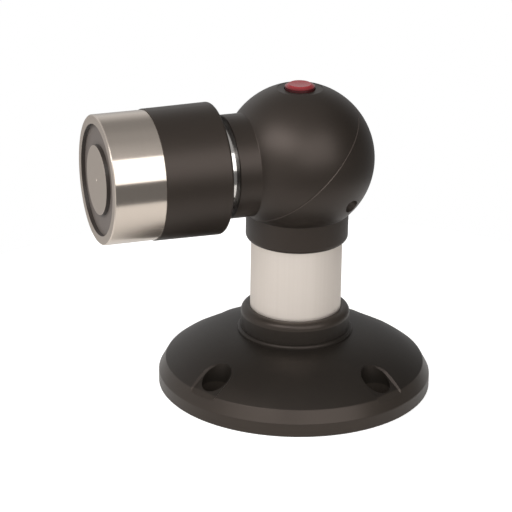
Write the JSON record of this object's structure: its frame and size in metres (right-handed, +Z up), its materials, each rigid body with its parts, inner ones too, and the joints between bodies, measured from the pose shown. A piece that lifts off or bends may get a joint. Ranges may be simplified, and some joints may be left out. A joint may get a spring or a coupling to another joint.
{
  "type": "electromagnetic door holder",
  "caption": "Floor or wall door holder: a round pot electromagnet on a 45-degree ball elbow with a release button, carried by a short tube on a domed screw-down base.",
  "frame": {"origin": "centre of the base's mounting face, at the middle of its screw circle", "axes": "+Z up the tube, away from the floor or wall; the magnet's pole face looks along -X"},
  "size_m": [0.1358, 0.1084, 0.1248],
  "materials": {
    "black_plastic": "fine-textured black glass-filled nylon, satin",
    "anodised_aluminium": "natural anodised extrusion, satin",
    "pole_steel": "turned and nickel plated",
    "bright_steel": "polished turned bush",
    "zinc_steel": "zinc plated",
    "potting_resin": "cast grey resin",
    "red_plastic": "moulded red cap",
    "copper": "enamelled copper winding",
    "natural_nylon": "natural moulded nylon",
    "grey_plastic": "moulded light grey",
    "brass": "turned brass",
    "rubber": "soft black"
  },
  "bodies": {
    "base": {"base_flange": "black_plastic", "cable_grommet": "rubber", "support_tube": "anodised_aluminium", "base_tube_screws": "zinc_steel", "lower_elbow_shell": "black_plastic", "elbow_tube_screws": "zinc_steel", "swivel_friction_ring": "natural_nylon", "swivel_clamp_ring": "zinc_steel", "swivel_screws": "zinc_steel", "terminal_block": "grey_plastic", "terminal_screws": "brass"},
    "head": {"upper_elbow_shell": "black_plastic", "button_spring": "zinc_steel", "switch_body": "grey_plastic", "switch_tags": "brass", "magnet_pot": "pole_steel", "magnet_core": "pole_steel", "coil_bobbin": "natural_nylon", "coil_winding": "copper", "potting_resin": "potting_resin", "magnet_sleeve": "black_plastic", "magnet_spigot": "bright_steel", "head_bolt": "zinc_steel", "bolt_washer": "zinc_steel"},
    "button": {"button_cap": "red_plastic"}
  },
  "joints": [
    {"name": "elbow_swivel", "type": "hinge", "parent": "base", "child": "head", "pos_m": [0, 0, 0.0946], "axis": [-0.7071, 0, 0.7071], "range_deg": [-180, 180]},
    {"name": "button_press", "type": "slide", "parent": "head", "child": "button", "axis": [0, 0, -1], "range_m": [0, 0.0016], "stiffness_N_per_m": 500, "springref_m": -0.004, "deforming": ["button_spring"]}
  ]
}
